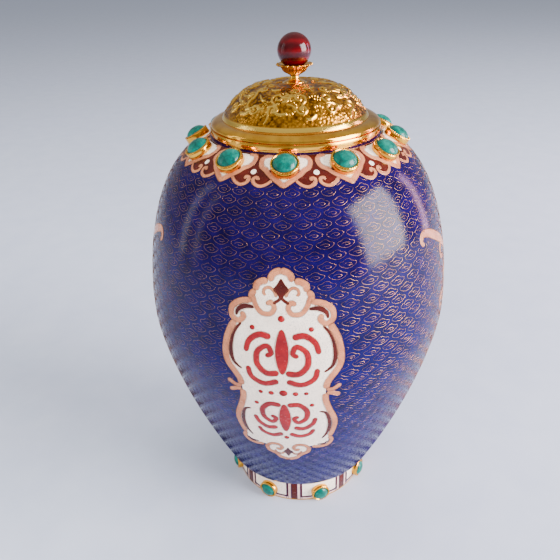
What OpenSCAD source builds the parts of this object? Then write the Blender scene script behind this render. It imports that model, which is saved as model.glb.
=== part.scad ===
// Lidded cloisonne jar: an egg-shaped copper body under enamel, a collar of
// set stones, a short foot, and a loose gilt lid with a bead finial.
// Millimetres, +Z up. The origin is the centre of the foot, on the surface
// that the jar stands on, and the front panel faces -Y.

/* [Body] */
// Greatest radius of the body, over the enamel
belly_r = 88; // [84:0.5:92]
// Height of the greatest radius
belly_z = 142; // [138:1:146]
// Height of the lower edge of the body, where it turns in to the foot
heel_z = 22; // [20:0.5:24]
// Thickness of the enamel on the outside
enamel_t = 1.2; // [0.8:0.1:1.4]
// Thickness of the copper wall
copper_t = 1.2; // [1:0.1:1.6]
// Thickness of the enamel lining inside
lining_t = 0.6; // [0.4:0.1:0.8]

/* [Mouth] */
// Height of the flat top of the neck ring, on which the lid rests
seat_z = 239.8; // [239.6:0.1:240.4]
// Outer radius of the neck ring
neck_r = 44.5; // [44:0.1:45]
// Radius of the mouth
mouth_r = 41; // [40.5:0.1:41.5]

/* [Foot] */
// Outer radius of the foot, over its enamel
foot_r = 44.4; // [43.8:0.1:45]
// Height of the foot ring, up to the underside of the body
foot_h = 17; // [16:0.5:18]
// Thickness of the foot ring's copper wall
foot_wall = 2; // [1.5:0.1:2.5]
// Height of the bare gilt lip under the foot enamel
foot_lip_h = 0.9; // [0.6:0.1:1]

/* [Stones] */
// Number of stones round the collar
collar_stones = 12; // [12]
// Height on the shoulder at which the collar stones are set
collar_stone_z = 235.2; // [234:0.1:235.6]
// Radius of a collar stone
collar_stone_r = 6; // [5:0.1:6.4]
// Number of stones round the foot
foot_stones = 8; // [8]
// Height of the foot stones
foot_stone_z = 7; // [7:0.1:9]
// Radius of a foot stone
foot_stone_r = 5; // [4:0.1:5]
// Thickness of a bezel's wall
bezel_wall = 1; // [0.6:0.1:1]

/* [Panels] */
// Height of the lower edge of the collar's enamel
collar_z = 225; // [222:0.5:228]
// Height of the waist of the front and back panels
panel_z = 126.5; // [124:0.5:128]
// Height of the middle of the side panels
side_panel_z = 147; // [143:1:151]

/* [Lid] */
// Radius of the lid's upright rim
rim_r = 46; // [45.5:0.1:47]
// Height of the upright rim
rim_h = 3.5; // [3:0.1:4]
// Radius of the foot of the dome
dome_r = 39.6; // [39:0.1:40]
// Height of the dome's foot above the seat
dome_base_h = 7.2; // [7:0.1:8]
// Height of the top of the dome above the seat
dome_h = 24.2; // [23:0.1:26]
// Thickness of the dome's sheet
dome_t = 1; // [0.8:0.1:1.2]
// Depth that the locating sleeve reaches down into the mouth
sleeve_depth = 12; // [8:0.5:14]
// Radial gap between the sleeve and the mouth
sleeve_gap = 0.4; // [0.3:0.05:0.6]

/* [Finial] */
// Radius of the bead
bead_r = 8.75; // [8:0.05:9.2]
// Height of the bead's centre above the top of the dome
bead_h = 15.7; // [15:0.1:16.5]
// Radius of the petal cup's rim
cup_r = 9.7; // [9:0.1:10.2]
// Radius of the stem's foot
stem_foot_r = 5.6; // [5:0.1:6]
// Radius of the threaded rod that holds the finial together
rod_r = 1.5; // [1.25:0.05:1.75]

/* [Hidden] */
// Body outline: radius falls from the belly as (1 - u^m)^(1/n), where u is the
// height away from the belly as a share of the half's own height
upper_h = 100;
upper_m = 1.8;
upper_n = 4.4;
lower_h = 198;
lower_m = 1.4;
lower_n = 1.22;
// Rounds the outline off where its two halves meet at the belly
belly_ease = 0.02;
outline_steps = 14;
round_fn = 96;

lining_depth = enamel_t + copper_t;
floor_z = foot_h + enamel_t + copper_t;
seam_z = belly_z;
neck_ring_h = 7;
foot_ring_r = foot_r - enamel_t;
foot_bore_r = foot_ring_r - foot_wall;

bezel_h = 4.2;
bezel_floor = 0.4;
bezel_sink = enamel_t - 0.05;
foot_bezel_h = 4;
girdle_h = 2.8;
cabochon_h = 3.8;
foot_girdle_h = 2.6;
foot_cabochon_h = 3;
collar_pitch = 360 / collar_stones;
foot_pitch = 360 / foot_stones;

sleeve_r = mouth_r - sleeve_gap;
sleeve_wall = 1.2;
sleeve_top = 4.7;
turn_gap = 0.06;
rod_end = 8.6;
rod_in_bead = 5;
dome_top_z = seat_z + dome_h;
bead_z = dome_top_z + bead_h;

vessel_nodes = ["lower_shell", "upper_shell", "inner_lining", "ground_enamel", "collar_enamel",
    "front_panel", "back_panel", "left_panel", "right_panel", "neck_ring", "foot_ring",
    "foot_enamel", "base_enamel", "foot_bezels"];
lid_nodes = ["lid_sleeve", "lid_flange", "lid_dome", "finial_stem", "petal_cup", "agate_bead",
    "finial_rod", "finial_washer", "finial_nut"];
collar_stone_nodes = [for (i = [1 : collar_stones]) str("collar_stone_", i)];
collar_bezel_nodes = [for (i = [1 : collar_stones]) str("collar_bezel_", i)];
foot_stone_nodes = [for (i = [1 : foot_stones]) str("foot_stone_", i)];

// ---- outline of the body ----

function eased(u) = (sqrt(u * u + belly_ease * belly_ease) - belly_ease)
    / (sqrt(1 + belly_ease * belly_ease) - belly_ease);
function half_r(u, m, n) = belly_r * pow(1 - pow(eased(u), m), 1 / n);
function body_r(z) = z > belly_z
    ? half_r((z - belly_z) / upper_h, upper_m, upper_n)
    : half_r((belly_z - z) / lower_h, lower_m, lower_n);
function body_slope(z) = (body_r(z + 0.01) - body_r(z - 0.01)) / 0.02;
// Angle of the surface's outward normal above the horizontal
function body_lean(z) = atan(-body_slope(z));
// Point of the outline at height z, moved inwards by a depth
function body_point(z, depth) = [body_r(z) - depth * cos(body_lean(z)),
    z - depth * sin(body_lean(z))];

// Heights along the outline, closer together where the shoulder turns in
top_z = seat_z - 0.6;
top_turn = asin((top_z - belly_z) / upper_h);
function shoulder_z(k) = belly_z + upper_h * sin(top_turn * k / outline_steps);
function flank_z(k) = heel_z + (belly_z - heel_z) * k / outline_steps;
function flank(depth) = [for (k = [0 : outline_steps]) body_point(flank_z(k), depth)];
function shoulder(depth) = [for (k = [0 : outline_steps]) body_point(shoulder_z(k), depth)];
function reversed(points) = [for (k = [len(points) - 1 : -1 : 0]) points[k]];

// Wall of the body between two depths, from the heel to the top
module wall(outer_depth, inner_depth) {
    rotate_extrude($fn = round_fn)
        polygon(concat(flank(outer_depth), shoulder(outer_depth),
            reversed(shoulder(inner_depth)), reversed(flank(inner_depth))));
}

module ring(r_out, r_in, z_low, z_high) {
    translate([0, 0, z_low])
        difference() {
            cylinder(r = r_out, h = z_high - z_low, $fn = round_fn);
            translate([0, 0, -1])
                cylinder(r = r_in, h = z_high - z_low + 2, $fn = round_fn);
        }
}

// Everything outside the neck ring, up to the top of the jar
module around_neck() {
    ring(belly_r + 10, neck_r, 0, seat_z + 1);
}

// ---- copper body ----

module lower_shell() {
    color("peru")
        rotate_extrude($fn = round_fn)
            polygon(concat([[0, foot_h], [foot_r, foot_h]], flank(enamel_t),
                reversed(flank(lining_depth)), [[foot_r, floor_z], [0, floor_z]]));
}

module upper_shell() {
    color("peru")
        intersection() {
            rotate_extrude($fn = round_fn)
                polygon(concat(shoulder(enamel_t), reversed(shoulder(lining_depth))));
            around_neck();
        }
}

module inner_lining() {
    color("turquoise")
        intersection() {
            rotate_extrude($fn = round_fn)
                polygon(concat([[0, floor_z], [foot_r, floor_z]],
                    flank(lining_depth), shoulder(lining_depth),
                    reversed(shoulder(lining_depth + lining_t)),
                    reversed(flank(lining_depth + lining_t)),
                    [[foot_r - lining_t, floor_z + lining_t], [0, floor_z + lining_t]]));
            union() {
                around_neck();
                cylinder(r = neck_r + 1, h = belly_z, $fn = round_fn);
            }
        }
}

module neck_ring() {
    color("gold")
        ring(neck_r, mouth_r, seat_z - neck_ring_h, seat_z);
}

// ---- enamel fields ----

// Outline of the tall front and back panels, x across and y up from the waist
module panel_outline() {
    for (side = [-1, 1]) {
        translate([side * 6.5, 59.5]) circle(r = 6.5, $fn = 32);
        translate([side * 9.5, 53]) circle(r = 6, $fn = 32);
        translate([side * 20.5, 46]) circle(r = 5.8, $fn = 32);
        translate([side * 27.5, 3.9]) circle(r = 3.3, $fn = 32);
        translate([side * 27.5, -3.9]) circle(r = 3.3, $fn = 32);
        translate([side * 19.5, -44.5]) circle(r = 5.5, $fn = 32);
        translate([side * 6.5, -54]) circle(r = 5.5, $fn = 32);
    }
    polygon([[0, 70], [-6, 66], [-15, 51], [-25, 45], [-29.5, 35], [-30.5, 25], [-28.5, 12], [-24, 0],
        [-26.5, -10], [-27.8, -24], [-26.5, -38], [-22, -48], [-11, -51], [-6, -60], [0, -66],
        [6, -60], [11, -51], [22, -48], [26.5, -38], [27.8, -24], [26.5, -10], [24, 0],
        [28.5, 12], [30.5, 25], [29.5, 35], [25, 45], [15, 51], [6, 66]]);
}

// Outline of the side panels: a cloud medallion with two tails that sweep up and out
module side_panel_outline() {
    circle(r = 19, $fn = 64);
    for (side = [-1, 1]) {
        translate([side * 16, 13]) circle(r = 8, $fn = 32);
        translate([side * 14, -15]) circle(r = 7, $fn = 32);
    }
    translate([0, 25]) circle(r = 10, $fn = 32);
    polygon([[0, 38], [-5, 33], [5, 33]]);
    polygon([[0, -40], [9, -15], [-9, -15]]);
    polygon([[8, 26], [14, 16], [24, 26], [33, 39], [44, 51.4], [31, 48], [18, 38]]);
    polygon([[-8, 26], [-18, 38], [-31, 48], [-44, 51.4], [-33, 39], [-24, 26], [-14, 16]]);
}

// Prism that stands out from the axis to past the enamel, towards -Y
module outward_prism() {
    rotate([90, 0, 0])
        translate([0, 0, 20])
            linear_extrude(height = belly_r)
                children();
}

module panel_prism() {
    translate([0, 0, panel_z])
        outward_prism()
            panel_outline();
}

module side_panel_prism() {
    translate([0, 0, side_panel_z])
        outward_prism()
            side_panel_outline();
}

module ground_enamel() {
    color("mediumblue")
        difference() {
            intersection() {
                wall(0, enamel_t);
                cylinder(r = belly_r + 10, h = collar_z, $fn = round_fn);
            }
            for (turn = [0, 180]) {
                rotate([0, 0, turn]) panel_prism();
                rotate([0, 0, turn + 90]) side_panel_prism();
            }
        }
}

module front_panel() {
    color("linen")
        intersection() {
            wall(0, enamel_t);
            panel_prism();
        }
}

module back_panel() {
    rotate([0, 0, 180]) front_panel();
}

module right_panel() {
    color("burlywood")
        rotate([0, 0, 90])
            intersection() {
                wall(0, enamel_t);
                side_panel_prism();
            }
}

module left_panel() {
    rotate([0, 0, 180]) right_panel();
}

module collar_enamel() {
    color("saddlebrown")
        difference() {
            intersection() {
                wall(0, enamel_t);
                ring(belly_r + 10, neck_r, collar_z, seat_z);
            }
            for (i = [0 : collar_stones - 1])
                at_collar(i) cylinder(r = collar_stone_r + bezel_wall, h = 10, $fn = 48);
        }
}

// ---- foot ----

module foot_ring() {
    color("goldenrod")
        union() {
            ring(foot_ring_r, foot_bore_r, 0, foot_h);
            ring(foot_r - 0.4, foot_bore_r, 0, foot_lip_h);
        }
}

module foot_enamel() {
    color("white")
        difference() {
            ring(foot_r, foot_ring_r, foot_lip_h, foot_h);
            for (i = [0 : foot_stones - 1])
                at_foot(i) cylinder(r = foot_stone_r + bezel_wall, h = 10, $fn = 48);
        }
}

module base_enamel() {
    color("steelblue")
        translate([0, 0, foot_h - lining_t])
            cylinder(r = foot_bore_r, h = lining_t, $fn = round_fn);
}

// ---- stones and their bezels ----

// Base of a collar bezel, in the enamel, with +Z out along the surface's normal
module at_collar(i) {
    base = body_point(collar_stone_z, bezel_sink);
    rotate([0, 0, collar_pitch * i])
        translate([0, -base[0], base[1]])
            rotate([90 - body_lean(collar_stone_z), 0, 0])
                children();
}

// Base of a foot bezel, half a pitch round from the front
module at_foot(i) {
    rotate([0, 0, foot_pitch * (i + 0.5)])
        translate([0, bezel_sink - foot_r, foot_stone_z])
            rotate([90, 0, 0])
                children();
}

module bezel(r, h) {
    color("gold")
        difference() {
            cylinder(r = r + bezel_wall, h = h, $fn = 48);
            translate([0, 0, bezel_floor])
                cylinder(r = r, h = h, $fn = 48);
        }
}

// Round stone: a straight girdle under a cap of a sphere
module cabochon(r, girdle, crown) {
    cap_r = (r * r + crown * crown) / (2 * crown);
    color("mediumturquoise")
        translate([0, 0, bezel_floor])
            union() {
                cylinder(r = r, h = girdle, $fn = 48);
                intersection() {
                    translate([0, 0, girdle + crown - cap_r])
                        sphere(r = cap_r, $fn = 64);
                    translate([0, 0, girdle / 2])
                        cylinder(r = r, h = girdle + crown, $fn = 48);
                }
            }
}

module collar_stone(i) {
    at_collar(i) cabochon(collar_stone_r, girdle_h, cabochon_h);
}

module collar_bezel(i) {
    at_collar(i) bezel(collar_stone_r, bezel_h);
}

module foot_stone(i) {
    at_foot(i) cabochon(foot_stone_r, foot_girdle_h, foot_cabochon_h);
}

module foot_bezels() {
    for (i = [0 : foot_stones - 1])
        at_foot(i) bezel(foot_stone_r, foot_bezel_h);
}

// ---- lid, drawn with the seat at z = 0 ----

function bezier(p, t) = pow(1 - t, 3) * p[0] + 3 * pow(1 - t, 2) * t * p[1]
    + 3 * (1 - t) * t * t * p[2] + pow(t, 3) * p[3];
dome_curve = [[dome_r, dome_base_h], [dome_r - 12, dome_h + 3], [16, dome_h], [0, dome_h]];
function dome_outer() = [for (k = [0 : outline_steps]) bezier(dome_curve, k / outline_steps)];
function dome_inner() = [for (p = dome_outer())
    [max(p[0] - dome_t, 0), max(p[1] - dome_t, dome_base_h)]];

module at_seat() {
    translate([0, 0, seat_z]) children();
}

module lid_sleeve() {
    color("goldenrod")
        at_seat() ring(sleeve_r, sleeve_r - sleeve_wall, -sleeve_depth, sleeve_top);
}

// Flange: an upright rim, a fine groove, then a rounded ledge up to the dome
module lid_flange() {
    color("gold")
        at_seat()
            rotate_extrude($fn = round_fn)
                polygon(concat([[sleeve_r + turn_gap, 0], [rim_r - 0.3, 0], [rim_r, 0.3], [rim_r, rim_h - 0.2],
                    [rim_r - 0.6, rim_h], [rim_r - 0.6, rim_h + 0.3]],
                    [for (a = [0 : 10 : 90]) [dome_r + (rim_r - 0.4 - dome_r) * cos(a),
                        rim_h + 0.3 + (dome_base_h - rim_h - 0.3) * sin(a)]],
                    [[dome_r - dome_t, dome_base_h], [dome_r - dome_t, sleeve_top + 0.4],
                        [sleeve_r + turn_gap, sleeve_top + 0.4]]));
}

// Dome, with the rod's hole and a flat seat for the foot of the finial
module lid_dome() {
    color("gold")
        at_seat()
            difference() {
                rotate_extrude($fn = round_fn)
                    polygon(concat(dome_outer(), reversed(dome_inner())));
                cylinder(r = rod_r, h = dome_h + 10, $fn = 32);
                translate([0, 0, dome_h]) cylinder(r = stem_foot_r + 0.1, h = 10, $fn = 64);
            }
}

// ---- finial, drawn with the top of the dome at z = 0 ----

module at_dome_top() {
    translate([0, 0, dome_top_z]) children();
}

module rod_hole() {
    translate([0, 0, -20]) cylinder(r = rod_r, h = 50, $fn = 32);
}

module finial_stem() {
    color("gold")
        at_dome_top()
            difference() {
                rotate_extrude($fn = 64)
                    polygon([[0, 0], [stem_foot_r, 0], [stem_foot_r - 0.2, 0.5], [3.6, 1.2], [2.6, 2.2],
                        [2.3, 3.4], [0, 3.4]]);
                rod_hole();
            }
}

module petal_cup() {
    color("gold")
        at_dome_top()
            difference() {
                rotate_extrude($fn = 64)
                    polygon([[0, 3.4], [2.3, 3.4], [3.2, 4.2], [5.2, 5.4], [6.3, 6.4], [6.8, 7.4],
                        [cup_r, 8.9], [cup_r, 9.6], [7.2, 9], [0, 9]]);
                translate([0, 0, bead_h]) sphere(r = bead_r, $fn = 96);
                rod_hole();
            }
}

module agate_bead() {
    color("darkred")
        at_dome_top()
            difference() {
                translate([0, 0, bead_h]) sphere(r = bead_r, $fn = 96);
                cylinder(r = rod_r, h = bead_h - bead_r + rod_in_bead, $fn = 32);
            }
}

module finial_rod() {
    color("goldenrod")
        at_dome_top()
            translate([0, 0, -rod_end])
                cylinder(r = rod_r, h = rod_end + bead_h - bead_r + rod_in_bead, $fn = 32);
}

module finial_washer() {
    color("goldenrod")
        at_dome_top() ring(5, rod_r, -dome_t - 0.8, -dome_t);
}

module finial_nut() {
    color("goldenrod")
        at_dome_top()
            translate([0, 0, -dome_t - 0.8 - 2.4])
                difference() {
                    cylinder(r = 3.2, h = 2.4, $fn = 6);
                    translate([0, 0, -1]) cylinder(r = rod_r, h = 5, $fn = 32);
                }
}

lower_shell();
upper_shell();
inner_lining();
ground_enamel();
collar_enamel();
front_panel();
back_panel();
left_panel();
right_panel();
neck_ring();
foot_ring();
foot_enamel();
base_enamel();
foot_bezels();
for (i = [1 : collar_stones]) {
    collar_stone(i - 1);
    collar_bezel(i - 1);
}
for (i = [1 : foot_stones])
    foot_stone(i - 1);
lid_sleeve();
lid_flange();
lid_dome();
finial_stem();
petal_cup();
agate_bead();
finial_rod();
finial_washer();
finial_nut();
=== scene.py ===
import bisect
import math
import random

import bpy
from mathutils import Matrix, Vector, kdtree, noise
from mathutils.geometry import delaunay_2d_cdt


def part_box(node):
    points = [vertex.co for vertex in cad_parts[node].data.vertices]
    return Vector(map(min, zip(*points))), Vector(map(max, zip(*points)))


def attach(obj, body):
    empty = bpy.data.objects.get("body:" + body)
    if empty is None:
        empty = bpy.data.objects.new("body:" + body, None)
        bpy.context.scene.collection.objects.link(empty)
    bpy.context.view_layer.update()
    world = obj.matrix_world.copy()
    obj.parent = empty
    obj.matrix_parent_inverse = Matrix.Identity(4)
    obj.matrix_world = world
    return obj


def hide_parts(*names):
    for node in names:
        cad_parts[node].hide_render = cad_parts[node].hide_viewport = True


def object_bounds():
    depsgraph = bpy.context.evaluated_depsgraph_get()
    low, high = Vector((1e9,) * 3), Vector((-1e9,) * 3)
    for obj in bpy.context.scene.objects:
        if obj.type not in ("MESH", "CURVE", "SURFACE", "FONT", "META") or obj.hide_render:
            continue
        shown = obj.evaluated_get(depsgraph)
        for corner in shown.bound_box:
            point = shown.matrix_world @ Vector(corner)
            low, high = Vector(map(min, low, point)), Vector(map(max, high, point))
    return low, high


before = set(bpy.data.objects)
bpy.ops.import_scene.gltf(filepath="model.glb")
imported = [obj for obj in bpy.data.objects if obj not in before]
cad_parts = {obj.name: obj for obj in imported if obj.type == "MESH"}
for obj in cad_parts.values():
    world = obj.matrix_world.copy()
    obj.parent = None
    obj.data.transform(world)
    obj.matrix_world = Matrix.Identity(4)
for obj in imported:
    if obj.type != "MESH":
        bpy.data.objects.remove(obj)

cad_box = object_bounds()

# A lidded cloisonne jar: blue enamel with gilt cloud wires, two tall panels, a
# collar and a foot of set turquoise, and a gilt lid with a bead on a petal cup.
# Lengths in this script are millimetres until a mesh is made. Angles go round
# from the front (-Y) towards +X. Heights above the enamel are called lift.

MM = 0.001
X_AXIS, Z_AXIS = 0, 2


def low(node, axis):
    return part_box(node)[0][axis] / MM


def high(node, axis):
    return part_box(node)[1][axis] / MM


# ---- sizes taken from the frame ----

BELLY_R = cad_box[1][X_AXIS] / MM
BELLY_Z = low("upper_shell", Z_AXIS)
FOOT_R = high("foot_enamel", X_AXIS)
FOOT_TOP = high("foot_enamel", Z_AXIS)
FOOT_LIP = low("foot_enamel", Z_AXIS)
SEAT_Z = high("neck_ring", Z_AXIS)
RIM_R = high("lid_flange", X_AXIS)
DOME_R = high("lid_dome", X_AXIS)
DOME_TOP = low("finial_stem", Z_AXIS)
CUP_LOW = low("petal_cup", Z_AXIS)
CUP_HIGH = high("petal_cup", Z_AXIS)
CUP_R = high("petal_cup", X_AXIS)
BEAD_R = high("agate_bead", X_AXIS)
BEAD_Z = high("agate_bead", Z_AXIS) - BEAD_R

# ---- outline of the body ----

UPPER_H, UPPER_M, UPPER_N = 100, 1.8, 4.4
LOWER_H, LOWER_M, LOWER_N = 198, 1.4, 1.22
BELLY_EASE = 0.02
HEEL_Z = 22
TOP_Z = SEAT_Z - 0.5
ENAMEL_T = 1.2
# The ground sits this far under the CAD surface, so that raised wires stay inside the CAD box
GROUND_DEPTH = 0.35

# Lifts of the enamel layers and wires over the ground
FIELD_LIFT = 0.05
BORDER_LIFT = 0.09
LINE_LIFT = 0.12
WIRE_LIFT = 0.17

# Widths of the wires that edge the fields and of the cloud wires
EDGE_WIRE = 0.3
CLOUD_WIRE = 0.24

# Radii at which the drawings of the panels and the collar are laid flat
PANEL_R = 88
COLLAR_R = 60

COLLAR_STONES, FOOT_STONES = 12, 8
COLLAR_STONE_Z, FOOT_STONE_Z = 235.2, 7
STONE_R, FOOT_STONE_R = 6, 5
BEZEL_WALL = 1
BEZEL_SINK = 1.15
SIDE_PANEL_Z = 147


def body_r(z):
    """Radius of the body at a height, on either side of the belly."""
    if z > BELLY_Z:
        u, m, n = (z - BELLY_Z) / UPPER_H, UPPER_M, UPPER_N
    else:
        u, m, n = (BELLY_Z - z) / LOWER_H, LOWER_M, LOWER_N
    eased = (math.hypot(u, BELLY_EASE) - BELLY_EASE) / (math.hypot(1, BELLY_EASE) - BELLY_EASE)
    return BELLY_R * (1 - eased ** m) ** (1 / n)


class Outline:
    """The body's outline, by the length run along it from a little under the heel."""

    START_Z = 20
    STEP = 0.05

    def __init__(self):
        self.run, self.z, self.r = [0.0], [self.START_Z], [body_r(self.START_Z)]
        while self.z[-1] < TOP_Z:
            z = self.z[-1] + self.STEP
            r = body_r(z)
            self.run.append(self.run[-1] + math.hypot(r - self.r[-1], self.STEP))
            self.z.append(z)
            self.r.append(r)

    def at(self, run):
        """Radius and height at a run, and the outward normal there."""
        k = min(max(bisect.bisect_right(self.run, run), 1), len(self.run) - 1)
        part = (run - self.run[k - 1]) / (self.run[k] - self.run[k - 1])
        dr, dz = self.r[k] - self.r[k - 1], self.z[k] - self.z[k - 1]
        length = math.hypot(dr, dz)
        return self.r[k - 1] + part * dr, self.z[k - 1] + part * dz, dz / length, -dr / length

    def run_at(self, z):
        k = min(max(bisect.bisect_right(self.z, z), 1), len(self.z) - 1)
        part = (z - self.z[k - 1]) / (self.z[k] - self.z[k - 1])
        return self.run[k - 1] + part * (self.run[k] - self.run[k - 1])


OUTLINE = Outline()


def around(angle, r, z):
    return Vector((r * math.sin(angle), -r * math.cos(angle), z))


def on_body(angle, run, lift):
    r, z, nr, nz = OUTLINE.at(run)
    depth = lift - GROUND_DEPTH
    return around(angle, r + nr * depth, z + nz * depth)


class Strip:
    """A flat drawing laid on the body: x across, from a centre angle, and y up its outline."""

    def __init__(self, centre, radius, base=0.0):
        self.centre, self.radius, self.base = centre, radius, base

    def __call__(self, x, y, lift):
        return on_body(self.centre + x / self.radius, self.base + y, lift)


# ---- flat drawing ----


def length_of(a, b):
    return math.hypot(b[0] - a[0], b[1] - a[1])


def smooth(points, step=0.7, closed=False):
    """Points at about an even step along a smooth curve through the given ones."""
    n = len(points)
    out = []
    for k in range(n if closed else n - 1):
        b, c = points[k], points[(k + 1) % n]
        a = points[k - 1] if closed or k else b
        d = points[(k + 2) % n] if closed or k + 2 < n else c
        pieces = max(1, round(length_of(b, c) / step))
        for j in range(pieces):
            t = j / pieces
            out.append(tuple(
                0.5 * (2 * b[i] + (c[i] - a[i]) * t
                       + (2 * a[i] - 5 * b[i] + 4 * c[i] - d[i]) * t ** 2
                       + (3 * b[i] - a[i] - 3 * c[i] + d[i]) * t ** 3)
                for i in (0, 1)))
    if not closed:
        out.append(tuple(points[-1]))
    return out


def mirrored(points):
    return [(-x, y) for x, y in points]


def pair(points, step=0.7):
    """A smoothed line and its mirror image."""
    line = smooth(points, step)
    return line, mirrored(line)


def both(points):
    """A half outline from top to bottom on the right, closed by its mirror image."""
    left = [(-x, y) for x, y in reversed(points) if abs(x) > 0.01]
    return list(points) + left


def circle(x, y, r, n=16):
    return [(x + r * math.cos(2 * math.pi * k / n), y + r * math.sin(2 * math.pi * k / n))
            for k in range(n)]


def side_vectors(line, closed=False):
    """Unit vectors to the left of a line at each of its points."""
    out = []
    n = len(line)
    for k in range(n):
        a = line[k - 1] if k or closed else line[0]
        b = line[(k + 1) % n] if k < n - 1 or closed else line[-1]
        length = length_of(a, b) or 1
        out.append(((a[1] - b[1]) / length, (b[0] - a[0]) / length))
    return out


def offset(line, distance, closed=False):
    return [(p[0] + v[0] * distance, p[1] + v[1] * distance)
            for p, v in zip(line, side_vectors(line, closed))]


def inside(x, y, polygon):
    hit = False
    for (ax, ay), (bx, by) in zip(polygon, polygon[1:] + polygon[:1]):
        if (ay > y) != (by > y) and x < ax + (y - ay) * (bx - ax) / (by - ay):
            hit = not hit
    return hit


# ---- meshes ----


class Shape:
    """Vertices and faces gathered from many small forms, in millimetres."""

    def __init__(self):
        self.verts, self.faces = [], []

    def add(self, verts, faces):
        start = len(self.verts)
        self.verts += verts
        self.faces += [tuple(start + k for k in face) for face in faces]
        return self

    def tube(self, rings, closed=False):
        """Skins rings of equal length, each a closed section; open tubes are capped."""
        n = len(rings[0])
        faces = []
        for k in range(len(rings) if closed else len(rings) - 1):
            a, b = k * n, (k + 1) % len(rings) * n
            faces += [(a + j, a + (j + 1) % n, b + (j + 1) % n, b + j) for j in range(n)]
        if not closed:
            faces.append(tuple(reversed(range(n))))
            faces.append(tuple(range((len(rings) - 1) * n, len(rings) * n)))
        return self.add([p for ring in rings for p in ring], faces)

    def ribbon(self, place, line, width, base, lift, closed=False, round_ends=True):
        """A low crowned strip along a line; width is a number or one for each point."""
        widths = width if isinstance(width, list) else [width] * len(line)
        if round_ends and not closed:
            widths = rounded_ends(line, widths)
        section = ((-0.5, base), (-0.4, base + 0.8 * (lift - base)), (0, lift),
                   (0.4, base + 0.8 * (lift - base)), (0.5, base))
        rings = []
        for p, v, w in zip(line, side_vectors(line, closed), widths):
            rings.append([place(p[0] - v[0] * w * s, p[1] - v[1] * w * s, h) for s, h in section])
        return self.tube(rings, closed)

    def wire(self, place, line, width, base, lift, closed=False):
        """A fine wire with a three-sided section."""
        section = ((-0.5, base), (0, lift), (0.5, base))
        rings = [[place(p[0] - v[0] * width * s, p[1] - v[1] * width * s, h) for s, h in section]
                 for p, v in zip(line, side_vectors(line, closed))]
        return self.tube(rings, closed)

    def field(self, place, outline, base, lift, grid=2.2):
        """A thin curved slab with the given closed outline."""
        xs, ys = [p[0] for p in outline], [p[1] for p in outline]
        points = [Vector(p) for p in outline]
        edge_count = len(points)
        y = min(ys) + grid / 2
        while y < max(ys):
            x = min(xs) + grid / 2
            while x < max(xs):
                if inside(x, y, outline) and min(length_of((x, y), p) for p in outline) > grid / 3:
                    points.append(Vector((x, y)))
                x += grid
            y += grid
        edges = [(k, (k + 1) % edge_count) for k in range(edge_count)]
        flat, _, triangles, _, _, _ = delaunay_2d_cdt(points, edges, [], 1, 1e-5)
        n = len(flat)
        used = {(tri[k - 1], tri[k]): True for tri in triangles for k in (1, 2, 0)}
        rim = [(a, b) for a, b in used if (b, a) not in used]
        verts = [place(p.x, p.y, lift) for p in flat] + [place(p.x, p.y, base) for p in flat]
        faces = [tuple(tri) for tri in triangles]
        faces += [tuple(n + k for k in reversed(tri)) for tri in triangles]
        faces += [(b, a, n + a, n + b) for a, b in rim]
        return self.add(verts, faces)

    def lathe(self, profile, segments, radius_at=None, matrix=None):
        """Turns a profile of (radius, height) about the axis; a radius of 0 closes an end."""
        first = len(self.verts)
        rows = []
        for k, (r, z) in enumerate(profile):
            if r < 1e-6:
                rows.append([len(self.verts)])
                self.verts.append(Vector((0, 0, z)))
                continue
            row = []
            for j in range(segments):
                a = 2 * math.pi * j / segments
                rr, zz = radius_at(k, r, z, a) if radius_at else (r, z)
                row.append(len(self.verts))
                self.verts.append(around(a, rr, zz))
            rows.append(row)
        closed = len(rows[0]) > 1 and len(rows[-1]) > 1
        pairs = list(zip(rows, rows[1:])) + ([(rows[-1], rows[0])] if closed else [])
        for a, b in pairs:
            for j in range(segments):
                i = (j + 1) % segments
                if len(a) == 1:
                    self.faces.append((a[0], b[i], b[j]))
                elif len(b) == 1:
                    self.faces.append((a[j], a[i], b[0]))
                else:
                    self.faces.append((a[j], a[i], b[i], b[j]))
        if matrix is not None:
            for k in range(first, len(self.verts)):
                self.verts[k] = matrix @ self.verts[k]
        return self

    def bead(self, centre, r, squash=1.0, rings=5, segments=8):
        """A small ball, flattened along Z by squash."""
        profile = [(r * math.sin(math.pi * k / rings), -r * squash * math.cos(math.pi * k / rings))
                   for k in range(rings + 1)]
        profile[0], profile[-1] = (0, profile[0][1]), (0, profile[-1][1])
        return self.lathe(profile, segments, matrix=Matrix.Translation(centre))

    def make(self, name, material, nodes=(), body="vessel", slot=None, sharp=40):
        """The finished piece, made with the given material.

        The slot argument is not used.
        Edges sharper than the given degrees stay crisp."""
        mesh = bpy.data.meshes.new(name)
        mesh.from_pydata([v * MM for v in self.verts], [], self.faces)
        mesh.materials.append(material)
        mesh.validate()
        mesh.shade_smooth()
        if sharp:
            mesh.set_sharp_from_angle(angle=math.radians(sharp))
        piece = bpy.data.objects.new(name, mesh)
        bpy.context.collection.objects.link(piece)
        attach(piece, body)
        if nodes:
            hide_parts(*nodes)
        return piece


def rounded_ends(line, widths):
    """Narrows a ribbon's widths to round tips."""
    run = [0.0]
    for a, b in zip(line, line[1:]):
        run.append(run[-1] + length_of(a, b))
    out = []
    for at, w in zip(run, widths):
        near = min(at, run[-1] - at) / (w / 2)
        out.append(w * math.sqrt(max(0.03, 1 - (1 - near) ** 2)) if near < 1 else w)
    return out


def swelling(line, ends, middle):
    """Widths that grow from the ends of a line to its middle."""
    last = len(line) - 1
    return [ends + (middle - ends) * math.sin(math.pi * k / last) for k in range(len(line))]


def tapering(line, start, end):
    last = len(line) - 1
    return [start + (end - start) * k / last for k in range(len(line))]


# ---- materials ----


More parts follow.
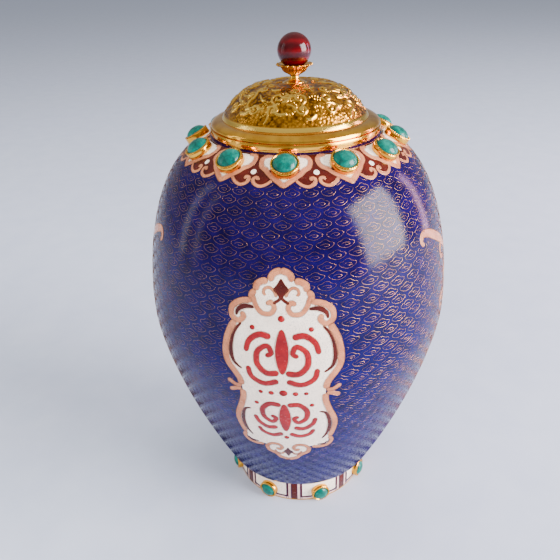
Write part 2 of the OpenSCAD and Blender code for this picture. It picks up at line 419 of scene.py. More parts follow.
def srgb(r, g, b):
    """A linear colour from 0-255 values."""
    def linear(v):
        v /= 255
        return v / 12.92 if v <= 0.04045 else ((v + 0.055) / 1.055) ** 2.4
    return (linear(r), linear(g), linear(b), 1)


class Paint:
    """A material under construction: its shader and the nodes that feed it."""

    def __init__(self, name, **sockets):
        self.material = bpy.data.materials.new(name)
        self.material.use_nodes = True
        self.nodes = self.material.node_tree.nodes
        self.links = self.material.node_tree.links
        self.shader = self.nodes["Principled BSDF"]
        for socket, value in sockets.items():
            self.put(self.shader.inputs[socket.replace("_", " ")], value)
        self.place = self.nodes.new("ShaderNodeTexCoord").outputs["Object"]

    def put(self, socket, value):
        """Sets a socket to a number or colour, or links a node's output to it."""
        if hasattr(value, "is_output"):
            self.links.new(value, socket)
        else:
            socket.default_value = value

    def node(self, kind, settings, inputs, output):
        """Adds a node with its settings and inputs, and gives back one output."""
        node = self.nodes.new("ShaderNode" + kind)
        for name, value in settings.items():
            setattr(node, name, value)
        for name, value in inputs.items():
            self.put(node.inputs[name], value)
        return node.outputs[output]

    def noise(self, scale, detail=3.0, roughness=0.55, distortion=0.0):
        return self.node("TexNoise", {}, {"Scale": scale, "Detail": detail, "Roughness": roughness,
                                          "Distortion": distortion, "Vector": self.place}, "Fac")

    def cells(self, scale, feature="F1"):
        return self.node("TexVoronoi", {"feature": feature}, {"Scale": scale, "Vector": self.place},
                         "Distance")

    def rings(self, scale, distortion):
        return self.node("TexWave", {"wave_type": "RINGS"},
                         {"Scale": scale, "Distortion": distortion, "Detail": 3, "Detail Scale": 1.4,
                          "Vector": self.place}, "Fac")

    def attribute(self, name):
        return self.node("Attribute", {"attribute_name": name}, {}, "Fac")

    def height(self):
        return self.node("SeparateXYZ", {}, {0: self.place}, "Z")

    def ramp(self, value, *stops):
        """Colours at the given stops, each (position, colour)."""
        node = self.nodes.new("ShaderNodeValToRGB")
        elements = node.color_ramp.elements
        while len(elements) < len(stops):
            elements.new(0.5)
        for element, (at, colour) in zip(elements, stops):
            element.position = at
            element.color = colour
        self.put(node.inputs["Fac"], value)
        return node.outputs["Color"]

    def span(self, value, a, b, from_a=0.0, from_b=1.0):
        """Turns the range from_a to from_b into the range a to b."""
        return self.node("MapRange", {}, {"From Min": from_a, "From Max": from_b, "To Min": a,
                                          "To Max": b, "Value": value}, "Result")

    def mix(self, factor, a, b, kind="MIX"):
        return self.node("Mix", {"data_type": "RGBA", "blend_type": kind}, {0: factor, 6: a, 7: b}, 2)

    def math(self, kind, a, b):
        return self.node("Math", {"operation": kind}, {0: a, 1: b}, 0)

    def bump(self, height, distance, strength=1.0, under=None):
        inputs = {"Strength": strength, "Distance": distance, "Height": height}
        if under is not None:
            inputs["Normal"] = under
        return self.node("Bump", {}, inputs, "Normal")

    def feed(self, socket, output):
        self.put(self.shader.inputs[socket], output)


def enamel(name, light, dark, painted_reflection_light=None, painted_reflection_dark=None, rough=(0.16, 0.3), gloss=0.35):
    """Fired glass: soft clouding, fine grit, pin holes and a slightly wavy gloss."""
    paint = Paint(name, Specular_IOR_Level=gloss)
    cloud = paint.noise(130, 4.0, 0.6)
    colour = paint.ramp(cloud, (0.3, dark), (0.7, light))
    # Painted reflection: low down the colour turns to the second pair, as if the lower body mirrored a blue
    # floor.
    if painted_reflection_light:
        painted_reflection_colour = paint.ramp(cloud, (0.3, painted_reflection_dark), (0.7, painted_reflection_light))
        colour = paint.mix(paint.span(paint.height(), 1, 0, 0.09, 0.2), colour, painted_reflection_colour)
    grit = paint.ramp(paint.noise(2600, 2.0), (0.36, (0.55, 0.55, 0.55, 1)), (0.5, (1, 1, 1, 1)))
    pits = paint.ramp(paint.cells(700), (0.06, (0.35, 0.35, 0.35, 1)), (0.12, (1, 1, 1, 1)))
    colour = paint.mix(1.0, colour, grit, "MULTIPLY")
    paint.feed("Base Color", paint.mix(1.0, colour, pits, "MULTIPLY"))
    paint.feed("Roughness", paint.span(paint.noise(420, 3.0), rough[0], rough[1], 0.3, 0.7))
    waves = paint.bump(paint.noise(190, 2.0), 0.00004, 0.5)
    paint.feed("Normal", paint.bump(paint.noise(1500, 3.0), 0.00006, 0.5, waves))
    return paint.material


def metal(name, light, dark, rough=(0.16, 0.34), grain=0.00001, painted_reflection_light=None, painted_reflection_dark=None):
    """Polished metal with tarnish in soft clouds and a fine grain; if asked, a painted reflection low down,
    in colours that stand for a dark blue floor mirrored there.
    """
    paint = Paint(name, Metallic=1.0)
    tarnish = paint.noise(110, 4.0, 0.5)
    colour = paint.ramp(tarnish, (0.25, dark), (0.6, light))
    # Painted reflection: low down the colour turns to the second pair, as if the metal mirrored a dark blue
    # floor.
    if painted_reflection_light:
        painted_reflection_colour = paint.ramp(tarnish, (0.25, painted_reflection_dark), (0.6, painted_reflection_light))
        colour = paint.mix(paint.span(paint.height(), 1, 0, 0.05, 0.15), colour, painted_reflection_colour)
    specks = paint.ramp(paint.noise(1700, 3.0), (0.28, (0.6, 0.5, 0.4, 1)), (0.38, (1, 1, 1, 1)))
    paint.feed("Base Color", paint.mix(0.7, colour, specks, "MULTIPLY"))
    paint.feed("Roughness", paint.span(paint.noise(320, 4.0), rough[0], rough[1], 0.35, 0.65))
    paint.feed("Normal", paint.bump(paint.noise(900, 4.0), grain, 0.7))
    return paint.material


def embossed_metal(name):
    """Gilt relief coloured by its height: a painted highlight, pale gold, on its high places and painted
    shade, dark brown, in the recesses, with some random tone.
    """
    paint = Paint(name, Metallic=1.0)
    relief = paint.attribute("relief")
    painted_shade_and_tone = paint.math("ADD", relief, paint.span(paint.noise(700, 4.0), -0.16, 0.16))
    # Painted shade and highlight: dark brown where the relief is low, pale gold where it is high.
    colour = paint.ramp(painted_shade_and_tone, (0.0, srgb(88, 50, 8)), (0.2, srgb(180, 120, 28)),
                        (0.5, srgb(230, 168, 54)), (0.9, srgb(252, 208, 96)))
    paint.feed("Base Color", colour)
    paint.feed("Roughness", paint.span(painted_shade_and_tone, 0.32, 0.12, 0.05, 0.8))
    paint.feed("Normal", paint.bump(paint.noise(1900, 4.0), 0.00006, 0.8))
    return paint.material


def turquoise_stone(name):
    """Polished turquoise: cloudy blue-green with a few dark veins and pale spots."""
    paint = Paint(name, Coat_Weight=0.05, Coat_Roughness=0.05, Specular_IOR_Level=0.25)
    cloud = paint.noise(260, 5.0, 0.6, 0.4)
    colour = paint.ramp(cloud, (0.28, srgb(0, 58, 52)), (0.5, srgb(0, 90, 78)),
                        (0.74, srgb(2, 124, 106)))
    veins = paint.ramp(paint.cells(210, "DISTANCE_TO_EDGE"), (0.0, (0.45, 0.5, 0.48, 1)),
                       (0.03, (1, 1, 1, 1)))
    broken = paint.mix(paint.span(paint.noise(120, 3.0), 0, 1, 0.5, 0.6), (1, 1, 1, 1), veins)
    paint.feed("Base Color", paint.mix(1.0, colour, broken, "MULTIPLY"))
    paint.feed("Roughness", paint.span(paint.noise(500, 3.0), 0.1, 0.24, 0.3, 0.7))
    paint.feed("Normal", paint.bump(cloud, 0.00008, 0.4))
    return paint.material


def agate_stone(name):
    """Dark red agate: thin wandering bands under a high polish."""
    paint = Paint(name, Specular_IOR_Level=0.3)
    bands = paint.math("MULTIPLY", paint.rings(60, 7), paint.noise(90, 4.0))
    paint.feed("Base Color", paint.ramp(bands, (0.05, srgb(50, 0, 3)), (0.4, srgb(70, 0, 5)),
                                        (0.7, srgb(94, 2, 8))))
    paint.feed("Roughness", paint.span(paint.noise(400, 3.0), 0.08, 0.2, 0.3, 0.7))
    paint.feed("Normal", paint.bump(paint.noise(260, 2.0), 0.0001, 0.3))
    return paint.material


# Blue ground: below about 0.2 m it turns a deeper, purer blue, a painted reflection of a blue floor.
BLUE = enamel("blue_enamel", srgb(20, 0, 74), srgb(9, 0, 44), srgb(3, 0, 94), srgb(1, 0, 58),
              rough=(0.08, 0.15), gloss=0.16)
# Indigo band under the lid: partly the enamel's own colour, partly painted shade under the lid's rim.
INDIGO_AND_SHADE = enamel("indigo_enamel_and_shade", srgb(44, 10, 76), srgb(22, 4, 40), gloss=0.25)
BROWN = enamel("brown_enamel", srgb(86, 26, 16), srgb(52, 12, 8), gloss=0.2)
WHITE = enamel("white_enamel", srgb(255, 241, 224), srgb(242, 224, 206))
PINK = enamel("pink_white_enamel", srgb(236, 200, 190), srgb(206, 164, 152))
PEACH = enamel("peach_enamel", srgb(204, 132, 92), srgb(170, 98, 66), gloss=0.3)
RED = enamel("red_enamel", srgb(160, 4, 14), srgb(116, 0, 8), gloss=0.3)
LINING = enamel("lining_enamel", srgb(60, 140, 170), srgb(34, 96, 130))
GILT = metal("gilt", srgb(240, 180, 62), srgb(206, 138, 36), rough=(0.1, 0.22))
# Wire colour kept dark all over, painted shade for the dark surroundings its polish mirrors; below about
# 0.15 m it turns dark blue-violet, a painted reflection of a blue floor.
WIRE = metal("wire_gilt", srgb(176, 130, 92), srgb(104, 68, 52), rough=(0.2, 0.38),
             painted_reflection_light=srgb(58, 48, 96), painted_reflection_dark=srgb(36, 26, 70))
BRASS = metal("brass", srgb(206, 168, 92), srgb(140, 104, 48), rough=(0.28, 0.5))
COPPER = metal("copper", srgb(196, 118, 84), srgb(120, 62, 42), rough=(0.3, 0.55))
EMBOSSED = embossed_metal("embossed_gilt")
TURQUOISE = turquoise_stone("turquoise")
AGATE = agate_stone("agate")


# ---- drawings of the panels ----

# Right half of the front panel: x across, y up the outline, both at the belly's radius
PANEL_CROWN = [(0, 183.4), (3.8, 182.2), (6.3, 179.8), (7.2, 176.6)]
CROWN_LOBE = [(6.8, 178.2), (10.6, 177.6), (13.8, 175.2), (14.5, 171.4)]
CROWN_SIDE = [(14, 172.6), (16.2, 170.2), (16.8, 166.6)]
CROWN_CURL = [(14.4, 168.8), (12.6, 163.6), (9.6, 160.2), (5.4, 160.1), (3.4, 163), (4.9, 165.9),
              (7.4, 164.8)]
SHOULDER_SCROLL = [(14.6, 166.2), (20.5, 165.2), (25.2, 161.6), (25.3, 156.8), (21.9, 154.6),
                   (19, 157.2), (20.6, 159.3)]
BELLY_EDGE = [(25.6, 155), (29.4, 147), (31.3, 137.8), (30.7, 130), (26.8, 123.3), (24.6, 119.4),
              (24.2, 115.4)]
LOWER_EDGE = [(24, 112), (24.4, 106.6), (27, 98.6), (30.2, 91), (31.5, 83.3), (30.4, 74.8),
              (29.4, 71)]
WAIST_CURLS = [[(22.4, 115), (26, 114.8), (30, 117.8)], [(22.6, 112.4), (26.2, 111.8), (30, 109.6)]]
CORNER_LOBE = [(27.4, 71.6), (29.6, 67), (27.6, 62.4), (22.4, 60.9), (16.6, 61.8)]
BOTTOM_CROWN = [(16.4, 61.4), (15.4, 54.6), (10.2, 50.8), (6.6, 46.4), (0, 43.9)]
BOTTOM_CURL = [(14.8, 59.8), (11.4, 63.4), (6.6, 63.8), (4, 60.8), (5.6, 57.8), (8.2, 59)]
PANEL_FIELD = [(0, 181.6), (4, 180), (6, 176.8), (9.8, 175.4), (12.4, 172), (14.4, 165.6),
               (20.5, 163.6), (24, 160.4), (24.8, 154), (27.6, 146.6), (29.4, 137.8), (28.8, 131),
               (24.6, 123.6), (22.4, 118), (22.4, 108), (25, 98.4), (28.4, 90.4), (29.6, 83.3),
               (28.6, 75.4), (27.6, 69), (26.6, 64.2), (22, 62.6), (14.6, 62), (13.6, 55.8),
               (9, 52.4), (5.4, 48.2), (0, 45.6)]
INNER_LINES = [([(13.6, 162.6), (18.2, 162.8), (22, 160.6), (23, 157.2)], 3.2),
               ([(20.4, 153.6), (24.2, 148.6), (26.3, 142), (26.5, 135.4), (24.9, 130.2), (21, 127)], 3),
               ([(19.4, 97.4), (23, 96), (25.2, 91), (26.5, 84), (25.6, 76), (22.8, 70.4)], 3),
               ([(27, 66.4), (24.6, 64), (20, 63.8)], 1.3)]
SMALL_CURLS = [[(2.3, 168.6), (3.5, 171.4), (5.8, 173.2), (8.3, 172.4), (8.8, 170.2), (7.5, 169.4)],
               [(9.4, 56.4), (8.2, 53.6), (4.8, 52.6), (2.2, 55.6)]]
ANCHOR = [(0, 168.4), (1.6, 166.8), (4, 165.2)]
TOP_DIAMOND = [(0, 177.6), (2, 174.8), (3.9, 172.2), (1.8, 169.8), (0, 167)]
BOTTOM_DIAMOND = [(0, 60.4), (1.4, 57.8), (3.4, 55.2), (1.6, 52.8), (0, 49.6)]

# Red scrollwork inside the panel: a bud between curled leaves, above and below
BUDS = [[(0, 126), (0, 137), (0, 152)], [(0, 104), (0, 94), (0, 79)]]
LEAVES = [[(1.8, 127), (8, 126.4), (12.6, 131.6), (12.2, 139), (7.4, 142.6), (5.4, 138.6), (8.2, 136.6)],
          [(5.4, 147.4), (11, 148.6), (16.4, 144.6), (18.4, 138)],
          [(2.2, 121.6), (9.6, 119.2), (16, 123), (17.6, 129.4)],
          [(1.8, 103), (8, 103.6), (12.4, 98.6), (12, 91.6), (7.6, 87.8), (5.2, 91.4), (8, 93.6)],
          [(5, 83), (10.8, 82), (16, 86.2), (17.6, 92)],
          [(2.2, 76.6), (8.4, 74), (14.6, 76.4), (17, 81)]]
RED_DOTS = [(0, 157.6, 1.7), (14.6, 152, 1.3), (0, 113, 2.2), (6.4, 112.6, 1.5), (12, 112.8, 1.2),
            (15.2, 103.4, 1.3), (0, 72.4, 1.6)]

# Right half of a side medallion, y from its own middle
SIDE_EDGE = [(0, 37), (6, 34.4), (9.2, 28.8), (8.8, 24), (14, 24.6), (20, 21), (22.6, 14.6), (20.6, 8.8),
             (17.2, 4.4), (21, -1), (22, -8), (18.6, -14), (12.6, -16), (10.4, -21.6), (5.4, -28), (0, -39)]
SIDE_TAIL = [(9.6, 25.6), (14, 31.6), (20, 37), (27, 41.6), (35, 46), (43, 49.6), (49.4, 50.6),
             (52, 47.6), (49.6, 45)]
SIDE_SCROLLS = [[(22, 38.6), (26, 36.4), (27.4, 32), (24.8, 29), (21.8, 30.4)],
                [(11.4, -20), (17, -25), (24, -27), (29.6, -23.6), (29.6, -18.4), (26, -17.2)],
                [(20.6, 6.8), (26, 7.6), (30, 4), (28.6, -0.4), (25.4, 0.6)]]

# One lappet of the collar, x and y at the collar's own radius
LAPPET_EDGE = [(0, 219.3), (4.6, 223), (8.8, 226.6), (10.4, 228.4), (13.4, 230.6), (15, 234.2),
               (14.4, 238), (11.8, 240.4), (8, 241)]
LAPPET_FIELD = [(0, 222.6), (4.6, 226), (8, 229), (10.4, 231), (12.2, 234.4), (11.8, 237.4), (10, 239)]
LAPPET_HOOK = [(5.6, 224), (8, 221.6), (11.2, 220.5), (14, 222), (14.5, 224.4), (12.9, 225),
               (12.4, 223.6)]
COLLAR_GROUND = [(0, 219.5), (4.6, 223), (6.4, 222.6), (8.6, 220.6), (11.6, 219.7), (14.4, 221.2),
                 (15.7, 223)]
COLLAR_TOP = 241.6


class Cover:
    """What the drawings cover of the ground, so that the cloud wires stop at their edges."""

    REACH = 4.4
    GAP = 0.4
    COLLAR_GAP = 0.7
    FIELD_HALF = 34

    def __init__(self):
        self.spots, self.fields, self.tree = [], [], None

    def stroke(self, place, line, widths):
        for (x, y), w in zip(line, widths):
            self.spots.append((place.centre + x / place.radius, place.base + y, w / 2))

    def field(self, place, outline):
        self.fields.append((place, outline))

    def clear(self, angle, run):
        """True where the ground shows."""
        if self.tree is None:
            self.tree = kdtree.KDTree(len(self.spots))
            for k, (a, y, _) in enumerate(self.spots):
                self.tree.insert(around(a, PANEL_R, y), k)
            self.tree.balance()
        pitch = 2 * math.pi / COLLAR_STONES
        across = abs((angle + pitch / 2) % pitch - pitch / 2) * COLLAR_R
        if run > collar_edge(across) - self.COLLAR_GAP:
            return False
        for _, k, distance in self.tree.find_range(around(angle, PANEL_R, run), self.REACH):
            if distance < self.spots[k][2] + self.GAP:
                return False
        for place, outline in self.fields:
            x = ((angle - place.centre + math.pi) % (2 * math.pi) - math.pi) * place.radius
            if abs(x) < self.FIELD_HALF and inside(x, run - place.base, outline):
                return False
        return True


COVER = Cover()


def collar_edge(x):
    """Run of the collar's lower edge, at a distance across from a lappet's tip."""
    for (ax, ay), (bx, by) in zip(COLLAR_GROUND, COLLAR_GROUND[1:]):
        if x <= bx:
            return ay + (by - ay) * (x - ax) / (bx - ax)
    return COLLAR_GROUND[-1][1]


SIDE_RUN = OUTLINE.run_at(SIDE_PANEL_Z)

# ---- body ----


def ground_piece():
    """The blue ground: one turned shell from the heel to under the collar."""
    row, top = 1.9, 232
    heel_run = OUTLINE.run_at(HEEL_Z)
    runs = [heel_run + row * k for k in range(math.ceil((top - heel_run) / row))]
    heel = [(FOOT_R - 0.6, FOOT_TOP), (FOOT_R + 1.4, FOOT_TOP + 0.7), (FOOT_R + 4.2, FOOT_TOP + 2.9)]
    outer, inner = [], []
    for run in runs:
        r, z, nr, nz = OUTLINE.at(run)
        outer.append((r - nr * GROUND_DEPTH, z - nz * GROUND_DEPTH))
        inner.append((r - nr * ENAMEL_T, z - nz * ENAMEL_T))
    shape = Shape().lathe(heel + outer + inner[::-1], 264)
    shape.make("ground_enamel_shell", BLUE, ["ground_enamel"])


def cloud_cell():
    """A cloud cell's rim and inner curl: x in half cell widths, y in millimetres."""
    rim = [(-1, 0), (-0.97, 0.55), (-0.8, 0.98), (-0.58, 1.12), (-0.43, 1.45), (-0.31, 1.95), (-0.1, 2.3),
           (0.12, 2.3), (0.32, 1.92), (0.43, 1.42), (0.6, 1.12), (0.84, 0.92), (0.99, 0.45), (0.97, -0.2),
           (0.82, -0.85), (0.58, -1.5), (0.25, -2.05), (-0.1, -2.2), (-0.45, -1.85), (-0.74, -1.3),
           (-0.93, -0.65)]
    curl = [(-0.52, -0.25), (-0.3, 0.2), (0.05, 0.4), (0.38, 0.2), (0.48, -0.35), (0.28, -0.9),
            (-0.04, -0.85), (-0.14, -0.4)]
    return rim, curl


def cloud_wires():
    """Rows of staggered cloud cells in fine wire, all over the blue ground."""
    columns, row_pitch, fill = 48, 4.9, 0.42
    lowest, highest = 6.5, 226
    stray_angle, stray_height = 0.003, 0.25
    pitch = 2 * math.pi / columns
    rim, curl = cloud_cell()
    rng = random.Random(5)
    place = Strip(0, 1)
    shape = Shape()
    run = lowest
    row = 0
    while run < highest:
        for column in range(columns):
            angle = pitch * (column + 0.5 * (row % 2)) + rng.uniform(-stray_angle, stray_angle)
            up = run + rng.uniform(-stray_height, stray_height)
            for line, closed in ((rim, True), (curl, False)):
                points = [(angle + x * fill * pitch, up + y) for x, y in line]
                kept = [COVER.clear(x, y) for x, y in points]
                if all(kept):
                    cell_wire(shape, place, points, closed)
                elif any(kept):
                    cut_wire(shape, place, points, kept)
        run += row_pitch
        row += 1
    shape.make("cloud_wires", WIRE, slot="brass", sharp=None)


def cell_wire(shape, place, points, closed):
    """A fine wire whose points hold an angle and a run, with its edges sunk in the ground."""
    half, sink, crest = CLOUD_WIRE / 2, -0.02, WIRE_LIFT * 0.7
    radius = OUTLINE.at(points[0][1])[0]
    flat = [(x * radius, y) for x, y in points]
    rings = []
    for v, (angle, run) in zip(side_vectors(flat, closed), points):
        across, up = v[0] * half / radius, v[1] * half
        rings.append([place(angle + across, run + up, sink), place(angle, run, crest),
                      place(angle - across, run - up, sink)])
    shape.tube(rings, closed)


def cut_wire(shape, place, points, kept):
    """The stretches of a wire that lie on open ground."""
    n = len(points)
    stretch = []
    start = next(k for k in range(n) if not kept[k])
    for k in range(n + 1):
        at = (start + k) % n
        if kept[at]:
            stretch.append(points[at])
        else:
            if len(stretch) > 2:
                cell_wire(shape, place, stretch, False)
            stretch = []


def edge_wire(wires, place, outline):
    """A closed wire along an outline, down to the ground."""
    wires.wire(place, outline, EDGE_WIRE, 0, WIRE_LIFT, True)


def edged_ribbon(fill, wires, place, line, width, lift, closed=False):
    """A crowned enamel stroke with a wire along each edge."""
    widths = width if isinstance(width, list) else [width] * len(line)
    shaped = widths if closed else rounded_ends(line, widths)
    COVER.stroke(place, line, widths)
    fill.ribbon(place, line, shaped, 0, lift, closed, round_ends=False)
    sides = side_vectors(line, closed)
    left = [(p[0] + v[0] * w / 2, p[1] + v[1] * w / 2) for p, v, w in zip(line, sides, shaped)]
    right = [(p[0] - v[0] * w / 2, p[1] - v[1] * w / 2) for p, v, w in zip(line, sides, shaped)]
    for edge in ((left, right) if closed else (left + right[::-1],)):
        edge_wire(wires, place, edge)


def tall_panel(side, centre, node):
    """A front or back panel: white field, peach border, brown lines and red scrolls."""
    place = Strip(centre, PANEL_R)
    white, peach, brown, red, wires = Shape(), Shape(), Shape(), Shape(), Shape()
    field = smooth(both(PANEL_FIELD), 1.4, closed=True)
    white.field(place, field, -0.1, FIELD_LIFT)
    COVER.field(place, field)
    # Each border stroke with its width and how much of that lies outside its points
    borders = ((PANEL_CROWN, 3.6, 0.5), (CROWN_LOBE, 3.6, 0.5), (CROWN_SIDE, 3.2, 0.5),
               (CROWN_CURL, 2.7, 0), (SHOULDER_SCROLL, 3.1, 0), (BELLY_EDGE, 3.8, 0.5),
               (LOWER_EDGE, 3.8, 0.5), (CORNER_LOBE, 3, 0), (BOTTOM_CROWN, 3.4, 0.5),
               (BOTTOM_CURL, 2.7, 0))
    for points, width, inset in borders:
        right = offset(smooth(points), -width * inset)
        for line in (right, mirrored(right)):
            edged_ribbon(peach, wires, place, line, width, BORDER_LIFT)
    for points in SMALL_CURLS:
        for line in pair(points):
            edged_ribbon(peach, wires, place, line, 1.5, BORDER_LIFT)
    for points in WAIST_CURLS:
        for line in pair(points):
            edged_ribbon(peach, wires, place, line, tapering(line, 2.4, 3), BORDER_LIFT + 0.02)
    for points, middle in INNER_LINES:
        for line in pair(points):
            edged_ribbon(brown, wires, place, line, swelling(line, 0.8, middle), FIELD_LIFT + 0.02)
    for line in pair(ANCHOR):
        brown.ribbon(place, line, 1.9, 0, LINE_LIFT)
    for points in (TOP_DIAMOND, BOTTOM_DIAMOND):
        diamond = smooth(both(points), 0.9, closed=True)
        brown.field(place, diamond, 0, LINE_LIFT)
        edge_wire(wires, place, diamond)
    for points in BUDS:
        line = smooth(points)
        edged_ribbon(red, wires, place, line, swelling(line, 1.2, 7.6), LINE_LIFT)
    for points in LEAVES:
        for line in pair(points):
            edged_ribbon(red, wires, place, line, tapering(line, 3.9, 2.7), LINE_LIFT)
    for x, y, r in RED_DOTS:
        for across in ([x] if x == 0 else [x, -x]):
            red.field(place, circle(across, y, r), 0, LINE_LIFT)
            edge_wire(wires, place, circle(across, y, r))
    white.make(side + "_panel_field", WHITE, [node])
    peach.make(side + "_panel_border", PEACH, [node], sharp=None)
    brown.make(side + "_panel_lines", BROWN, [node])
    red.make(side + "_panel_scrolls", RED, [node], sharp=None)
    wires.make(side + "_panel_wires", WIRE, slot="brass", sharp=None)


def side_medallion(side, centre, node):
    """A side panel: a lobed cloud medallion with two upswept tails and a flower."""
    place = Strip(centre, PANEL_R, SIDE_RUN)
    white, peach, brown, red, wires = Shape(), Shape(), Shape(), Shape(), Shape()
    edge = smooth(both(SIDE_EDGE), 1.0, closed=True)
    white.field(place, offset(edge, -1.6, closed=True), -0.1, FIELD_LIFT)
    COVER.field(place, edge)
    edged_ribbon(peach, wires, place, offset(edge, -1.8, closed=True), 3.6, BORDER_LIFT, closed=True)
    inner = offset(edge, -4.6, closed=True)
    edged_ribbon(brown, wires, place, inner, 1.3, LINE_LIFT, closed=True)
    for line in pair(SIDE_TAIL):
        edged_ribbon(peach, wires, place, line, swelling(line, 2.2, 5.6), BORDER_LIFT)
    for points in SIDE_SCROLLS:
        for line in pair(points):
            edged_ribbon(peach, wires, place, line, tapering(line, 3.2, 2.2), BORDER_LIFT)
    petals = 8
    for k in range(petals):
        a = 2 * math.pi * k / petals
        line = smooth([(reach * math.cos(a), reach * math.sin(a)) for reach in (4, 8, 12.4)])
        edged_ribbon(red, wires, place, line, swelling(line, 1.6, 5), LINE_LIFT)
    red.field(place, circle(0, 0, 2.8), 0, LINE_LIFT)
    edge_wire(wires, place, circle(0, 0, 2.8))
    white.make(side + "_medallion_field", WHITE, [node])
    peach.make(side + "_medallion_border", PEACH, [node], sharp=None)
    brown.make(side + "_medallion_line", BROWN, [node], sharp=None)
    red.make(side + "_medallion_flower", RED, [node], sharp=None)
    wires.make(side + "_medallion_wires", WIRE, slot="brass", sharp=None)


# ---- collar ----


def collar_ground():
    """The brown band under the lappets, with its lower edge drawn from lappet to lappet."""
    shape = Shape()
    pitch = 2 * math.pi / COLLAR_STONES
    steps = 26
    rings = []
    for k in range(COLLAR_STONES * steps):
        angle = pitch * k / steps
        across = abs((angle + pitch / 2) % pitch - pitch / 2) * COLLAR_R
        bottom = collar_edge(across)
        runs = [bottom + (COLLAR_TOP - bottom) * j / 12 for j in range(13)]
        ring = [on_body(angle, run, FIELD_LIFT * 0.6) for run in runs]
        ring += [on_body(angle, run, -0.8) for run in reversed(runs)]
        rings.append(ring[::-1])
    shape.tube(rings, closed=True)
    shape.make("collar_ground", BROWN, ["collar_enamel"])


def collar_band():
    """Makes the dark band that runs round under the lid, and gives back its two wires. Its dark indigo is
    partly the enamel's own colour and partly painted shade under the lid's rim.
    """
    shape, wires = Shape(), Shape()
    segments = 240
    angles = [2 * math.pi * k / segments for k in range(segments)]
    low_run, high_run, root = COLLAR_TOP - 1.4, COLLAR_TOP + 0.8, -0.4
    section = ((low_run, root), (low_run, BORDER_LIFT), (high_run, BORDER_LIFT), (high_run, root))
    shape.tube([[on_body(angle, run, lift) for run, lift in section] for angle in angles], closed=True)
    for run in (low_run, high_run):
        rings = [[on_body(angle, run - 0.2, 0), on_body(angle, run, WIRE_LIFT), on_body(angle, run + 0.2, 0)]
                 for angle in angles]
        wires.tube(rings, closed=True)
    shape.make("collar_top_band", INDIGO_AND_SHADE, ["collar_enamel"], slot="blue_enamel")
    return wires


def collar_lappets():
    """Twelve lappets: a white bed for each stone, a peach border, hooks and dots."""
    white, peach, brown = Shape(), Shape(), Shape()
    wires = collar_band()
    for i in range(COLLAR_STONES):
        centre = 2 * math.pi * i / COLLAR_STONES
        place = Strip(centre, COLLAR_R)
        white.field(place, smooth(both(LAPPET_FIELD), 1.2, closed=True), 0, FIELD_LIFT + 0.02)
        edge = smooth(LAPPET_EDGE)
        for line in (offset(edge, 1.5), mirrored(offset(edge, 1.5))):
            edged_ribbon(peach, wires, place, line, 3, BORDER_LIFT)
        for x in (-6.6, 6.6):
            brown.field(place, circle(x, 229.4, 1.3), 0, BORDER_LIFT)
        for line in pair(LAPPET_HOOK, 0.5):
            edged_ribbon(peach, wires, place, line, tapering(line, 1.5, 1.9), BORDER_LIFT)
        dot = circle(math.pi / COLLAR_STONES * COLLAR_R, 228, 1.5)
        white.field(place, dot, 0, LINE_LIFT)
        edge_wire(wires, place, dot)
    white.make("collar_fields", WHITE, ["collar_enamel"])
    peach.make("collar_borders", PEACH, ["collar_enamel"], sharp=None)
    brown.make("collar_lines", BROWN, ["collar_enamel"], sharp=None)
    wires.make("collar_wires", WIRE, slot="brass", sharp=None)


# ---- stones and bezels ----


def collar_matrix(i):
    r, z, nr, nz = OUTLINE.at(OUTLINE.run_at(COLLAR_STONE_Z))
    angle = 2 * math.pi * i / COLLAR_STONES
    base = around(0, r - nr * BEZEL_SINK, z - nz * BEZEL_SINK)
    tilt = Matrix.Rotation(math.pi / 2 - math.atan2(nz, nr), 4, "X")
    return Matrix.Rotation(angle, 4, "Z") @ Matrix.Translation(base) @ tilt


def foot_matrix(i):
    angle = 2 * math.pi * (i + 0.5) / FOOT_STONES
    base = Vector((0, BEZEL_SINK - FOOT_R, FOOT_STONE_Z))
    tilt = Matrix.Rotation(math.pi / 2, 4, "X")
    return Matrix.Rotation(angle, 4, "Z") @ Matrix.Translation(base) @ tilt


def add_bezel(shape, matrix, r, height):
    """A cup of sheet metal whose rim is beaded and pressed over the stone."""
    outer = r + BEZEL_WALL
    profile = [(0, 0), (outer - 0.1, 0), (outer, 0.2), (outer, height - 1.1), (outer - 0.12, height - 0.8),
               (outer, height - 0.55), (outer - 0.35, height - 0.12), (r + 0.18, height),
               (r - 0.12, height - 0.25), (r - 0.1, height - 0.9), (r - 0.1, 0.4), (0, 0.4)]
    shape.lathe(profile, 56, matrix=matrix)
    beads = round(2 * math.pi * (r + 0.5) / 1.25)
    for k in range(beads):
        centre = around(2 * math.pi * k / beads, r + 0.55, height - 0.3)
        shape.bead(centre, 0.5, 0.8, 4, 8)
        for n in range(len(shape.verts) - bead_vertices(4, 8), len(shape.verts)):
            shape.verts[n] = matrix @ shape.verts[n]


def bead_vertices(rings, segments):
    return (rings - 1) * segments + 2


def add_cabochon(shape, matrix, r, girdle, crown, seed):
    """A round stone with a soft dome, not perfectly even."""
    rng = random.Random(seed)
    lean, phase = rng.uniform(0.01, 0.03), rng.uniform(0, 6.28)
    dome = [(r * math.sin(a), 0.4 + girdle + crown * math.cos(a))
            for a in [math.pi / 2 * k / 12 for k in range(12, -1, -1)]]
    dome[-1] = (0, dome[-1][1])
    profile = [(0, 0.45), (r - 0.25, 0.45)] + dome

    def uneven(k, rr, z, a):
        return rr * (1 + 0.006 * math.cos(2 * a + phase)), z + lean * rr * math.cos(a + phase) * (z > 1)

    shape.lathe(profile, 48, uneven, matrix)


